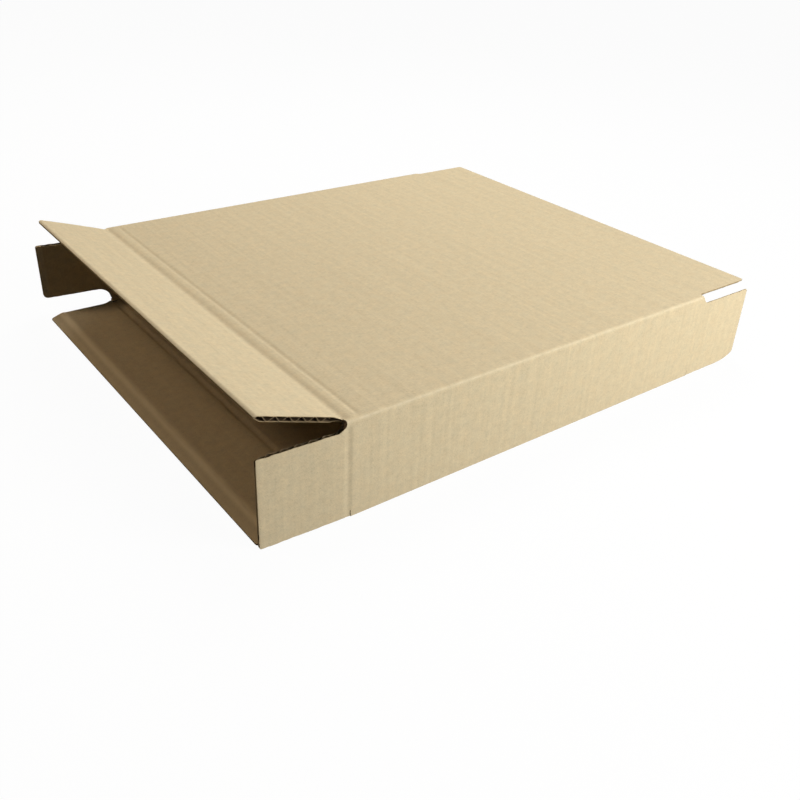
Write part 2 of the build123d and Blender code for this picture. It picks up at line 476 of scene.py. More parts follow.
@dataclass
class Sleeve:
    """Four panels round the girth and the glued tab, up to the strips that belong to the creases."""

    blank: Blank
    straight: float = 108.0 * MM
    score_place: float = -113.3 * MM
    score_half: float = 2.0 * MM
    score_depth: float = 0.26 * MM
    score_fade: float = 3.0 * MM
    score_at_fold: float = 0.25
    # Half width of each fold's pale line: liner cracked and rubbed at the fold, with painted highlight of the
    # fold's rounded edge.
    fold_rub_and_highlight: float = 0.65 * MM
    bow: float = 0.25 * MM
    side_bow: float = 0.35
    flute_columns: int = 5
    end_step: float = 0.5 * MM
    beside_fold_step: float = 0.6 * MM
    tab_foot: float = 112.5 * MM
    tab_lean: float = 5.0 * MM
    tab_top: float = 32.1 * MM
    tab_columns: int = 120
    tab_step: float = 4.0 * MM
    glue_gap: float = 0.05 * MM

    def seam(self, panel: Panel) -> float:
        """Distance from the middle of the sleeve to the seam with a flap's crease strip."""
        pivot = Joint.named(f"right_{panel.value}_crease").pivot[0]
        return abs(pivot) - self.blank.crease_lead

    def sheet(self) -> tuple[Array, Array]:
        """Lay out the sleeve's sheet in the blank.

        One grid covers the straight part. At both ends each panel goes on to its seam, and each
        fold and free edge goes on to its own end between the flaps.

        Returns:
            Blank coordinates of the points, and the faces.
        """
        blank, girth = self.blank, self.blank.girth
        panels = [blank.rows(panel) for panel in Panel]
        folds = []
        for fold in range(3):
            low, high = girth.starts[2 * fold + 1], girth.starts[2 * fold + 2]
            middle = girth.fold_middle(fold)
            folds.append(np.concatenate([spread(middle - blank.slot_seam, low, self.beside_fold_step),
                                         spread(low, high, FOLD_STEP)[1:-1],
                                         spread(high, middle + blank.slot_seam, self.beside_fold_step)]))
        front_edge = np.array([0.0, blank.front_low])
        bottom_edge = np.array([blank.bottom_front, girth.starts[7]])
        reach = {panel: self.seam(panel) for panel in Panel}
        columns = np.unique(np.concatenate([spread(self.straight, max(reach.values()), self.end_step),
                                            list(reach.values())]))
        rows = np.unique(np.round(np.concatenate(panels + folds + [front_edge, bottom_edge]), 9))
        length = spread(-self.straight, self.straight, blank.board.pitch / self.flute_columns)
        patches = [grid(*np.meshgrid(length, rows))]
        bands = [(panels[k], np.full(len(panels[k]), reach[panel])) for k, panel in enumerate(Panel)]
        bands += [(folds[k], blank.corner_end(folds[k], k)) for k in range(3)]
        bands += [(edge, np.full(2, blank.half_length)) for edge in (front_edge, bottom_edge)]
        for places, ends in bands:
            places = np.round(places, 9)
            kept = columns[columns < ends.min() - 0.01 * MM]
            u = np.column_stack([np.broadcast_to(kept, (len(places), len(kept))), ends])
            v = np.broadcast_to(places[:, None], u.shape)
            patches += [grid(u, v), grid(-u[:, ::-1], v)]
        return weld(patches)

    def relief(self, u: Array, v: Array) -> Array:
        """Height of the outer face: flute ripple, less the second score on the top panel's left end.

        Args:
            u: Places along the sleeve.
            v: Places round the girth.

        Returns:
            Height along the outward normal.
        """
        low, high = self.blank.limits(Panel.TOP)
        on_top = smoothstep((v - low) / self.score_fade) * smoothstep((high - v) / self.score_fade)
        share = (self.score_at_fold + (1.0 - self.score_at_fold) * on_top) * (v > low) * (v < high)
        score = self.score_depth * hollow(u, self.score_place, self.score_half)
        return self.blank.board.ripple(u) - score * share

    def marks(self, u: Array, v: Array) -> Array:
        """Pale line of the folds, partly rubbed liner and partly painted highlight: 1 along the middle of
        each, down to 0 at its edge.
        """
        away = np.min([np.abs(v - self.blank.girth.fold_middle(fold)) for fold in range(3)], axis=0)
        return np.clip(1.0 - away / self.fold_rub_and_highlight, 0.0, 1.0)

    def skin(self) -> Skin:
        """Work out the sheet's two faces and the tab's.

        The outer face is the girth path moved along its normal by the relief and by a slow bow of
        the panels, a half sine each way that dies out at the folds and ends. The inner face takes
        the same bow.

        Returns:
            The closed skins of the sleeve.
        """
        blank, girth = self.blank, self.blank.girth
        flat, quads = self.sheet()
        u, v = flat[:, 0], flat[:, 1]
        outer, inner, normal = girth.at(v)
        across = np.zeros_like(v)
        for panel, share in ((Panel.TOP, 1.0), (Panel.FRONT, self.side_bow), (Panel.BACK, self.side_bow)):
            low, high = blank.limits(panel)
            across += share * np.sin(np.pi * np.clip((v - low) / (high - low), 0.0, 1.0))
        bow = self.bow * across * np.cos(0.5 * np.pi * np.clip(u / self.straight, -1.0, 1.0)) ** 2
        front = np.column_stack([u, outer + normal * (bow + self.relief(u, v))[:, None]])
        back = np.column_stack([u, inner + normal * bow[:, None]])
        skin = Skin()
        # The rim takes the dark fluting finish, painted shade of the open cells at the cut ends; at the back
        # fold it takes the outer finish instead.
        at_back_fold = np.abs(v - girth.fold_middle(1)) < blank.slot_seam + 0.1 * MM
        skin.add_slab(front, back, quads, flat, self.marks(u, v), (Face.OUTER, Face.INNER, Face.FLUTE),
                      at_back_fold)
        self.add_tab(skin)
        return skin

    def add_tab(self, skin: Skin) -> None:
        """Add the glued tab: a quarter turn up from the bottom panel, then straight up, narrowing.

        Args:
            skin: The skin to add to.
        """
        board, girth = self.blank.board, self.blank.girth
        radius = girth.fold_radius
        bend = spread(0.0, 0.5 * np.pi * radius, FOLD_STEP)
        rise = spread(0.0, self.tab_top - radius, self.tab_step)[1:]
        along = np.concatenate([bend, bend[-1] + rise])
        lift = np.clip(along - bend[-1], 0.0, None)
        half = self.tab_foot - self.tab_lean * lift / lift.max()
        u = np.linspace(-1.0, 1.0, self.tab_columns)[None, :] * half[:, None]
        flat, quads = grid(u, np.broadcast_to((girth.starts[7] + along)[:, None], u.shape))
        angle = -0.5 * np.pi - np.clip(along / radius, 0.0, 0.5 * np.pi)
        normal = np.column_stack([np.cos(angle), np.sin(angle)])
        core = np.column_stack([np.full(len(along), girth.tab_fold + self.glue_gap), radius + lift])
        inner_core = core + np.array([board.thickness - radius + girth.inner_radius, 0.0])
        inner_core[:, 1] = np.maximum(core[:, 1], board.thickness + girth.inner_radius)
        outer, inner = core + radius * normal, inner_core + girth.inner_radius * normal
        ways = np.repeat(np.arange(len(along)), u.shape[1])
        skin.add_slab(np.column_stack([flat[:, 0], outer[ways]]), np.column_stack([flat[:, 0], inner[ways]]),
                      quads, flat, np.zeros(len(flat)), (Face.OUTER, Face.INNER, Face.CUT))


@dataclass(frozen=True)
class Score:
    """Pressed line along a flap: its place from the crease, half its width, its depth and its painted
    highlight.

    A depth below 0 is a bead, as a line pressed from the other face leaves.
    """

    place: float
    half_width: float
    depth: float
    # Painted highlight: a pale line along the score, standing in for light caught by its flank.
    painted_highlight: float = 0.0


@dataclass
class Flap:
    """One end flap, from a strip of the panel before its crease out to the cut edge.

    Both liners and the waved medium between them are real sheets, so the flutes are open at the
    slots. The board is pressed thin along the crease, in a groove on the side that it folds to.
    """

    blank: Blank
    end: int
    panel: Panel
    scores: tuple[Score, ...] = ()
    low_corner: float = 1.0 * MM
    low_run: float = 0.0
    high_corner: float = 1.0 * MM
    rag: float = 0.11 * MM
    low_out: float = 0.0
    back_taper: float = 0.0
    inner_set_back: float = 0.0
    slot_pinch: float = 0.0
    outer_pinch: float = 0.10 * MM
    inner_pinch: float = 1.15 * MM
    outer_run: float = 1.2 * MM
    inner_run: float = 4.0 * MM
    # Painted light on the inner liner, rising towards the cut edge, where the strip beyond the score catches
    # light.
    edge_painted_light: float = 0.0
    groove_half: float = 2.9 * MM
    groove_depth: float = 2.0 * MM
    groove_round: float = 0.004
    groove_floor: float = 0.25
    lip_low: float = 0.12 * MM
    lip_start: float = 0.25 * MM
    lip_rise: float = 1.1 * MM
    lip_anchor: float = 6.4 * MM
    lip_rag: float = 0.12 * MM
    lip_sunk: float = 0.03 * MM
    lip_rows: int = 7
    near_crease: float = 6.0 * MM
    near_step: float = 0.42 * MM
    body_columns: int = 8
    wave_columns: int = 12
    rag_from: float = 2.5 * MM
    rag_fade: float = 4.0 * MM
    out_from: float = 2.0 * MM
    out_fade: float = 5.0 * MM
    crush_from: float = 0.3 * MM
    crush_fade: float = 1.5 * MM
    crush_width: float = 2.7 * MM
    # Width of a score's painted highlight, in half widths of the score.
    highlight_spread: float = 1.5
    core_run: float = 0.8
    core_short: float = 0.12 * MM
    core_behind: float = 0.10 * MM
    core_set_back: float = 4.5
    wave_clear: float = 0.9 * MM
    wave_run: float = 0.7
    wave_behind: float = 0.35 * MM
    wave_crushed: float = 2.4 * MM
    sunk: float = 0.6

    def __post_init__(self) -> None:
        """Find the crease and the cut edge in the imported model."""
        self.side = "left" if self.end < 0 else "right"
        self.joint = Joint.named(f"{self.side}_{self.panel.value}_crease")
        _, plain_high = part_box(f"right_{self.panel.value}_flap")
        self.length = float(plain_high[0]) - abs(self.joint.pivot[0])
        self.inside_pivot = self.panel is Panel.BOTTOM
        self.step = abs(self.joint.pivot[0]) - self.blank.half_length

    def columns(self) -> Array:
        """Places outward from the crease: close together at the crease and at the round corners."""
        largest = max(self.low_corner, self.low_run, self.high_corner, self.inner_run)
        turned = self.length - largest + largest * np.sin(np.linspace(0.0, 0.5 * np.pi, 15))
        body = spread(self.near_crease, turned[0], self.blank.board.pitch / self.body_columns)
        rolled = self.length - self.outer_run + self.outer_run * np.sin(np.linspace(0.0, 0.5 * np.pi, 5))
        near = spread(-self.blank.crease_lead, self.near_crease, self.near_step)
        return np.unique(np.round(np.concatenate([near, body, turned, rolled]), 8))

    def edges(self, a: Array, back_off: float) -> tuple[Array, Array]:
        """Outline of the flap round the girth.

        Beside a fold it is the slot: the seam, a quarter circle and a straight edge. The outer
        corners are quarter ellipses, and a cut edge wanders by its rag.

        Args:
            a: Places outward from the crease.
            back_off: How far the outline lies behind the cut.

        Returns:
            Lower and upper limit at each place.
        """
        blank, order = self.blank, list(Panel).index(self.panel)
        past = a + self.step
        cut = smoothstep((past - self.rag_from) / self.rag_fade)
        u = self.joint.pivot[0] + self.end * a
        low_rag = cut * (self.rag * (1.0 + uneven(u, RAG_STEP, Draw.LOW_EDGE)) + back_off)
        high_rag = cut * (self.rag * (1.0 + uneven(u, RAG_STEP, Draw.HIGH_EDGE)) + back_off)
        low_round, high_round = self.low_rounding(a), self.rounding(a, self.high_corner, self.high_corner)
        high_round = high_round + self.back_taper * (np.clip(a, 0.0, None) / self.length) ** 2
        if self.panel is Panel.FRONT:
            low = np.maximum(blank.front_low, self.lip_low + low_round) + back_off * cut
        else:
            wider = self.low_out * smoothstep((past - self.out_from) / self.out_fade)
            slot = blank.slot_edge(order - 1, 1, past) - wider
            low = blank.girth.fold_middle(order - 1) + slot + low_rag + low_round
        if self.panel is Panel.BOTTOM:
            return low, blank.bottom_front - high_rag - high_round
        return low, blank.girth.fold_middle(order) - blank.slot_edge(order, -1, past) - high_rag - high_round

    def rounding(self, a: Array, rise: float, run: float) -> Array:
        """Inset of a corner: the rise less the height of a quarter ellipse as long as the run."""
        past = np.clip((a - self.length) / run + 1.0, 0.0, 1.0)
        return rise * (1.0 - np.sqrt(1.0 - past ** 2))

    def low_rounding(self, a: Array) -> Array:
        """Inset of the lower corner, which is round unless a run is given."""
        return self.rounding(a, self.low_corner, self.low_run or self.low_corner)

    def faces(self, a: Array, v: Array) -> tuple[Array, Array]:
        """Depths of the two faces under the outer one's plane.

        The face on the pivot's side has the scores. The other one has the groove of the crease, with
        straight flanks at about 45 degrees and a rounded floor. Both draw together at the cut edge,
        where the knife has crushed the flutes, and the inner one also at a crushed slot.

        Args:
            a: Places outward from the crease.
            v: Places round the girth.

        Returns:
            Depth of the outer face and depth of the inner face.
        """
        thickness = self.blank.board.thickness
        scored = np.zeros_like(a)
        for score in self.scores:
            scored = scored + score.depth * hollow(a, score.place, score.half_width)
        flank = np.clip(1.0 - np.sqrt((a / self.groove_half) ** 2 + self.groove_round), 0.0, None)
        grooved = self.groove_depth * (flank - self.groove_floor * flank ** 6)
        last = a - self.length
        rolled = self.outer_pinch * np.clip((last + self.outer_run) / self.outer_run, 0.0, 1.0) ** 2
        crushed = self.inner_pinch * smoothstep((last + self.inner_run) / self.inner_run)
        low, high = self.edges(a, 0.0)
        inside = high - v if self.panel is Panel.FRONT else np.minimum(v - low, high - v)
        begun = smoothstep((a + self.step - self.crush_from) / self.crush_fade)
        at_slot = (1.0 - smoothstep(inside / self.crush_width)) * begun
        crushed = np.maximum(crushed, self.slot_pinch * at_slot)
        if self.inside_pivot:
            return grooved + rolled, thickness - scored - crushed
        return scored + rolled, thickness - np.maximum(grooved, crushed)

    def rub_and_painted_light(self, a: Array) -> Array:
        """Painted light on the inner liner: a raised cosine of painted highlight along each score that has
        one, and a rise of painted light towards the cut edge.
        """
        marks = self.edge_painted_light * smoothstep((a - self.length + self.inner_run) / self.inner_run)
        for score in self.scores:
            marks = marks + score.painted_highlight * hollow(a, score.place, self.highlight_spread * score.half_width)
        return marks

    def place(self, a: Array, v: Array, depth: Array) -> Array:
        """Put points of the flat flap where it rests.

        A point turns about the pivot line by the rest angle times a smooth step across the crease.

        Args:
            a: Places outward from the crease.
            v: Places round the girth.
            depth: Depths under the outer face's plane.

        Returns:
            The points, n by 3.
        """
        pivot_depth = self.blank.board.thickness if self.inside_pivot else 0.0
        half = self.blank.crease_half
        angle = self.joint.rest_angle * smoothstep((a + half) / (2.0 * half))
        height = pivot_depth - depth
        out = a * np.cos(angle) - height * np.sin(angle)
        up = a * np.sin(angle) + height * np.cos(angle) - pivot_depth
        outer, _, normal = self.blank.girth.at(v)
        return np.column_stack([self.joint.pivot[0] + self.end * out, outer + normal * up[:, None]])

    def sheet(self, a: Array, back_off: float) -> tuple[Array, Array, Array, Array, Array]:
        """Lay out a grid of the flap whose rows start where the sleeve's rows end.

        Args:
            a: Places outward from the crease.
            back_off: How far the outline lies behind the cut.

        Returns:
            Blank coordinates, faces, and the points' places a, u and v.
        """
        rows = self.blank.rows(self.panel)
        share = (rows - rows[0]) / (rows[-1] - rows[0])
        a = a if self.end > 0 else a[::-1]
        low, high = self.edges(a, back_off)
        v = low[None, :] + share[:, None] * (high - low)[None, :]
        across = np.broadcast_to(a[None, :], v.shape)
        flat, quads = grid(self.joint.pivot[0] + self.end * across, v)
        return flat, quads, across.reshape(-1), flat[:, 0], flat[:, 1]

    def skin(self) -> Skin:
        """Work out the two liners, the crushed core along the cut edge and the waved medium.

        Returns:
            The closed skins of the flap.
        """
        board = self.blank.board
        skin = Skin()
        flat, quads, a, u, v = self.sheet(self.columns(), 0.0)
        outer = self.faces(a, v)[0] - board.ripple(u)
        # The liners' backs and the medium take the dark fluting finish, painted shade of the flute cells; the
        # rims take the cut finish, partly painted shade.
        skin.add_slab(self.place(a, v, outer), self.place(a, v, outer + board.liner), quads, flat,
                      np.zeros_like(a), (Face.OUTER, Face.FLUTE, Face.CUT))
        flat, quads, a, u, v = self.sheet(self.columns(), self.inner_set_back)
        inner = self.faces(a, v)[1] - board.ripple(u)
        skin.add_slab(self.place(a, v, inner - board.liner), self.place(a, v, inner), quads, flat,
                      self.rub_and_painted_light(a), (Face.FLUTE, Face.INNER, Face.CUT))
        core = spread(self.length - self.core_run * self.inner_run, self.length - self.core_short, 0.5 * MM)
        flat, quads, a, u, v = self.sheet(core, self.core_behind + self.core_set_back * self.inner_set_back)
        outer, inner = self.faces(a, v)
        hidden = self.sunk * board.liner
        skin.add_slab(self.place(a, v, outer + hidden), self.place(a, v, inner - hidden), quads, flat,
                      np.zeros_like(a), (Face.CUT, Face.CUT, Face.CUT))
        waved = spread(self.groove_half + self.wave_clear, self.length - self.wave_run * self.inner_run,
                       board.pitch / self.wave_columns)
        behind = self.wave_behind + (self.wave_crushed if self.slot_pinch else 0.0)
        flat, quads, a, u, v = self.sheet(waved, behind)
        outer, inner = self.faces(a, v)
        middle = outer + board.wave(u) * (inner - outer) / board.thickness
        half = 0.5 * board.medium
        skin.add_slab(self.place(a, v, middle - half), self.place(a, v, middle + half), quads, flat,
                      np.zeros_like(a), (Face.FLUTE, Face.FLUTE, Face.CUT))
        return skin

    def lip_skin(self) -> Skin:
        """Work out the strip of board along the lower edge of a front flap.

        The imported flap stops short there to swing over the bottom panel. The strip goes on down to
        the table, between the same two faces, and its upper edge is hidden in the flap's board.

        Returns:
            The closed skin of the strip.
        """
        hidden = self.lip_sunk
        a = np.concatenate([spread(self.lip_start, self.near_crease, 0.5 * MM), self.columns()])
        a = np.unique(np.round(a[a >= self.lip_start - 1e-9], 9))
        a = a if self.end > 0 else a[::-1]
        high = self.blank.front_low + self.lip_rise
        u = self.joint.pivot[0] + self.end * a
        low = self.lip_low + self.low_rounding(a) + self.lip_rag * (1.0 + uneven(u, RAG_STEP, Draw.LIP_EDGE))
        low = np.minimum(low, high - 0.1 * MM)
        v = low[None, :] + np.linspace(0.0, 1.0, self.lip_rows)[:, None] * (high - low)[None, :]
        across = np.broadcast_to(a[None, :], v.shape)
        flat, quads = grid(np.broadcast_to(u[None, :], v.shape), v)
        across, v = across.reshape(-1), flat[:, 1]
        outer, inner = self.faces(across, v)
        outer, inner = outer - self.blank.board.ripple(flat[:, 0]) + hidden, inner - hidden
        skin = Skin()
        skin.add_slab(self.place(across, v, outer), self.place(across, v, inner), quads, flat,
                      np.zeros_like(across), (Face.OUTER, Face.INNER, Face.CUT))
        return skin

    def hang_lip(self, piece: Object) -> None:
        """Parent the strip to the empty of its flap's body and give it a mesh of its own.

        Args:
            piece: The strip's mesh object.
        """
        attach(piece, self.joint.child)
        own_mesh(piece)

    def hang(self, piece: Object) -> None:
        """Bake the piece's placing into its mesh and hide the imported flap that it stands for.

        Args:
            piece: The flap's mesh object.
        """
        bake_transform(piece)
        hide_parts(self.joint.child)


@dataclass
class Wiring:
    """Adds nodes to one tree: a socket given as a value is linked, and anything else is set."""

    tree: NodeTree

    def fill(self, node: Node, values: dict[str | int, Any]) -> None:
        """Link or set a node's inputs, by name or number."""
        for name, value in values.items():
            if isinstance(value, NodeSocket):
                self.tree.links.new(value, node.inputs[name])
            else:
                node.inputs[name].default_value = value

    def node(self, kind: str, values: dict[str | int, Any] | None = None, **settings: Any) -> Node:
        """Add a node.

        Args:
            kind: Type of the node.
            values: What goes into its inputs.
            settings: Properties of the node, which are set first.

        Returns:
            The new node.
        """
        made = self.tree.nodes.new(kind)
        for name, setting in settings.items():
            setattr(made, name, setting)
        self.fill(made, values or {})
        return made

    def math(self, operation: str, first: Any, second: Any = 0.0) -> NodeSocket:
        """Result of a math node on two values."""
        return self.node("ShaderNodeMath", {0: first, 1: second}, operation=operation).outputs[0]

    def swing(self, value: Any, strength: Any) -> NodeSocket:
        """Noise moved to a middle of 0, times a strength."""
        return self.math("MULTIPLY", self.math("SUBTRACT", value, 0.5), strength)

    def ramp(self, value: Any, span: tuple[float, float],
             result: tuple[float, float] = (0.0, 1.0)) -> NodeSocket:
        """Straight rise over a span, held at the two results beyond it."""
        return self.node("ShaderNodeMapRange", {"Value": value, "From Min": span[0], "From Max": span[1],
                                                "To Min": result[0], "To Max": result[1]}).outputs[0]

    def mix(self, factor: Any, first: Any, second: Any, blend: str = "MIX") -> NodeSocket:
        """Result of mixing two colours."""
        return self.node("ShaderNodeMix", {0: factor, 6: first, 7: second}, data_type="RGBA",
                         blend_type=blend).outputs[2]

    def noise(self, vector: Any, scale: tuple[float, float], turn: float = 0.0, detail: float = 2.0,
              roughness: float = 0.5) -> NodeSocket:
        """Noise on the blank, stretched and turned.

        Args:
            vector: Blank coordinates.
            scale: Features per metre along u and v, before the turn.
            turn: Turn of the pattern on the blank.
            detail: Octaves of finer noise.
            roughness: Strength of the finer noise.

        Returns:
            The value, from 0 to 1 with a middle of a half.
        """
        turned = self.node("ShaderNodeMapping", {"Vector": vector, "Rotation": (0.0, 0.0, turn)},
                           vector_type="TEXTURE").outputs[0]
        placed = self.node("ShaderNodeMapping", {"Vector": turned, "Scale": (*scale, 1.0)}).outputs[0]
        return self.node("ShaderNodeTexNoise", {"Vector": placed, "Scale": 1.0, "Detail": detail,
                                                "Roughness": roughness}, noise_dimensions="2D").outputs[0]


def new_group(name: str, inputs: dict[str, str], outputs: dict[str, str]) -> tuple[Wiring, Any, Any]:
    """Start a shader node group.

    Args:
        name: Name of the group.
        inputs: Names of the inputs and their socket types.
        outputs: Names of the outputs and their socket types.

    Returns:
        The group's wiring, its input node's sockets and its output node.
    """
    tree = bpy.data.node_groups.new(name, "ShaderNodeTree")
    for socket, kind in inputs.items():
        tree.interface.new_socket(socket, in_out="INPUT", socket_type=kind)
    for socket, kind in outputs.items():
        tree.interface.new_socket(socket, in_out="OUTPUT", socket_type=kind)
    wiring = Wiring(tree)
    return wiring, wiring.node("NodeGroupInput").outputs, wiring.node("NodeGroupOutput")


GLUE_LINE = 0.0035
HUE_SWING = 0.07
FLECK_STRENGTH = 0.30


def kraft_fibre_group() -> NodeTree:
    """Paper of a kraft liner: cloudy pulp, fine fibres, streaks and glue lines along the flutes, flecks.

    Returns:
        The group, with a colour, a roughness and a height.
    """
    wiring, given, put = new_group(
        "kraft_fibre",
        {"Blank": "NodeSocketVector", "Colour": "NodeSocketColor", "Fleck Colour": "NodeSocketColor",
         "Cloud": "NodeSocketFloat", "Fibre": "NodeSocketFloat", "Streak": "NodeSocketFloat"},
        {"Colour": "NodeSocketColor", "Roughness": "NodeSocketFloat", "Height": "NodeSocketFloat"})
    blank = given["Blank"]
    clouds = wiring.noise(blank, (190.0, 260.0), detail=4.0, roughness=0.62)
    long_fibre = wiring.noise(blank, (420.0, 2900.0), turn=0.12)
    cross_fibre = wiring.noise(blank, (2500.0, 520.0), turn=0.45)
    streaks = wiring.noise(blank, (430.0, 9.0), detail=3.0, roughness=0.6)
    fibre = wiring.math("MULTIPLY", wiring.math("ADD", long_fibre, cross_fibre), 0.5)
    along = wiring.node("ShaderNodeSeparateXYZ", {0: blank}).outputs[0]
    glue = wiring.math("SINE", wiring.math("MULTIPLY", along, 2.0 * math.pi / Board.pitch))
    tone = wiring.math("ADD", wiring.math("MULTIPLY", glue, GLUE_LINE), 1.0)
    for value, strength in ((clouds, given["Cloud"]), (fibre, given["Fibre"]), (streaks, given["Streak"])):
        tone = wiring.math("ADD", wiring.swing(value, strength), tone)
    warmth = wiring.swing(wiring.noise(blank, (150.0, 150.0), turn=0.7, detail=3.0, roughness=0.6), HUE_SWING)
    grey = wiring.node("ShaderNodeCombineColor", {0: wiring.math("ADD", tone, warmth), 1: tone,
                                                  2: wiring.math("SUBTRACT", tone, warmth)}).outputs[0]
    shaded = wiring.mix(1.0, given["Colour"], grey, "MULTIPLY")
    specks = wiring.noise(blank, (700.0, 2100.0), turn=-0.3, detail=1.0)
    fleck = wiring.math("MULTIPLY", wiring.ramp(specks, (0.70, 0.80)), FLECK_STRENGTH)
    height = wiring.math("ADD", wiring.math("MULTIPLY", fibre, 0.7), wiring.math("MULTIPLY", clouds, 0.5))
    wiring.fill(put, {"Colour": wiring.mix(fleck, shaded, given["Fleck Colour"]),
                      "Roughness": wiring.ramp(fibre, (0.3, 0.7), (0.80, 0.92)), "Height": height})
    return wiring.tree


def make_rub_and_highlight_group() -> NodeTree:
    """Pale lines at folds and scores, partly rubbed liner and partly painted highlight and light: the paper
    turns pale by its mark, more or less broken up into beads.

    Returns:
        The group, with a colour.
    """
    wiring, given, put = new_group(
        "crease_wear",
        {"Blank": "NodeSocketVector", "Colour": "NodeSocketColor", "Pale": "NodeSocketColor",
         "Mark": "NodeSocketFloat", "Beading": "NodeSocketFloat"}, {"Colour": "NodeSocketColor"})
    beads = wiring.ramp(wiring.noise(given["Blank"], (210.0, 120.0), detail=3.0, roughness=0.7), (0.25, 0.75))
    missed = wiring.math("MULTIPLY", wiring.math("SUBTRACT", 1.0, beads), given["Beading"])
    rub_and_painted_light = wiring.math("MULTIPLY", given["Mark"], wiring.math("SUBTRACT", 1.0, missed))
    wiring.fill(put, {"Colour": wiring.mix(rub_and_painted_light, given["Colour"], given["Pale"])})
    return wiring.tree


@dataclass(frozen=True)
class Kraft:
    """Finish of one kind of surface of the board."""

    name: str
    colour: tuple[float, float, float]
    fleck: tuple[float, float, float]
    # Colour of the pale lines: rubbed liner with painted highlight at the folds, painted light on the bottom
    # flap.
    pale: tuple[float, float, float]
    cloud: float
    fibre: float
    streak: float
    bump: float
    beading: float = 1.0
    bump_height: float = 0.08 * MM
    gloss: float = 0.25

    def material(self, fibre_group: NodeTree, rub_and_highlight_group: NodeTree) -> Material:
        """Build the material on the blank's own coordinates.

        Args:
            fibre_group: The paper's node group.
            rub_and_highlight_group: The folds' node group.

        Returns:
            The material.
        """
        made = bpy.data.materials.new(self.name)
        made.use_nodes = True
        wiring = Wiring(made.node_tree)
        blank = wiring.node("ShaderNodeUVMap", uv_map=BLANK_MAP).outputs[0]
        paper = wiring.node("ShaderNodeGroup", {
            "Blank": blank, "Colour": (*self.colour, 1.0), "Fleck Colour": (*self.fleck, 1.0),
            "Cloud": self.cloud, "Fibre": self.fibre, "Streak": self.streak}, node_tree=fibre_group).outputs
        # Pale lines: rubbed liner with painted highlight at the sleeve's folds, painted light on the bottom
        # flap's score and edge.
        mark = wiring.node("ShaderNodeAttribute", attribute_name=RUB_AND_HIGHLIGHT_MARK).outputs["Fac"]
        rub_and_highlight_colour = wiring.node("ShaderNodeGroup", {
            "Blank": blank, "Colour": paper["Colour"], "Pale": (*self.pale, 1.0), "Mark": mark,
            "Beading": self.beading}, node_tree=rub_and_highlight_group).outputs["Colour"]
        bump = wiring.node("ShaderNodeBump", {"Height": paper["Height"], "Strength": self.bump,
                                              "Distance": self.bump_height}).outputs[0]
        wiring.fill(made.node_tree.nodes["Principled BSDF"], {
            "Base Color": rub_and_highlight_colour, "Roughness": paper["Roughness"], "Normal": bump,
            "Specular IOR Level": self.gloss})
        return made


# Outer liner; its pale colour is the folds' pale line, partly rubbed liner, partly painted highlight.
OUTER_KRAFT = Kraft("outer_kraft_liner", (0.660, 0.548, 0.350), (0.34, 0.24, 0.12), (0.76, 0.65, 0.45),
                    cloud=0.21, fibre=0.48, streak=0.16, bump=0.30)
# Inner liner; its much lighter pale colour is painted light on the bottom flap's score and outer edge, and
# the folds' pale line inside.
INNER_KRAFT = Kraft("inner_kraft_liner", (0.640, 0.525, 0.330), (0.32, 0.22, 0.11), (0.93, 0.79, 0.53),
                    cloud=0.26, fibre=0.50, streak=0.10, bump=0.35, beading=0.25)
# Cut edges and crushed core, darker than the liner's paper: painted shade of the board's edge over the cut's
# own brown.
CUT_EDGE_PAINTED_SHADE = Kraft("cut_board_and_flutes", (0.400, 0.300, 0.165), (0.20, 0.13, 0.06), (0.60, 0.48, 0.29),
                  cloud=0.24, fibre=0.30, streak=0.10, bump=0.40)
# Faces inside the board, the liners' backs and the medium: near-black, painted shade of the deep flute cells.
FLUTE_PAINTED_SHADE = Kraft("fluting_in_the_board", (0.125, 0.084, 0.044), (0.07, 0.05, 0.02), (0.25, 0.18, 0.10),
                    cloud=0.20, fibre=0.26, streak=0.10, bump=0.30)


@dataclass(frozen=True)
class Softbox:
    """Soft studio lamp: where it stands, where it points, how wide it is and how strong."""

    name: str
    place: tuple[float, float, float]
    aim: tuple[float, float, float]
    width: float
    power: float
    colour: tuple[float, float, float] = (1.0, 1.0, 1.0)

    def light(self) -> None:
        """Add the lamp to the scene."""
        lamp = bpy.data.lights.new(self.name, "AREA")
        lamp.shape, lamp.size = "DISK", self.width
        lamp.energy, lamp.color = self.power, self.colour
        stand = bpy.data.objects.new(self.name, lamp)
        turned = (Vector(self.aim) - Vector(self.place)).to_track_quat("-Z", "Y").to_matrix().to_4x4()
        stand.matrix_world = Matrix.Translation(self.place) @ turned
        bpy.context.scene.collection.objects.link(stand)


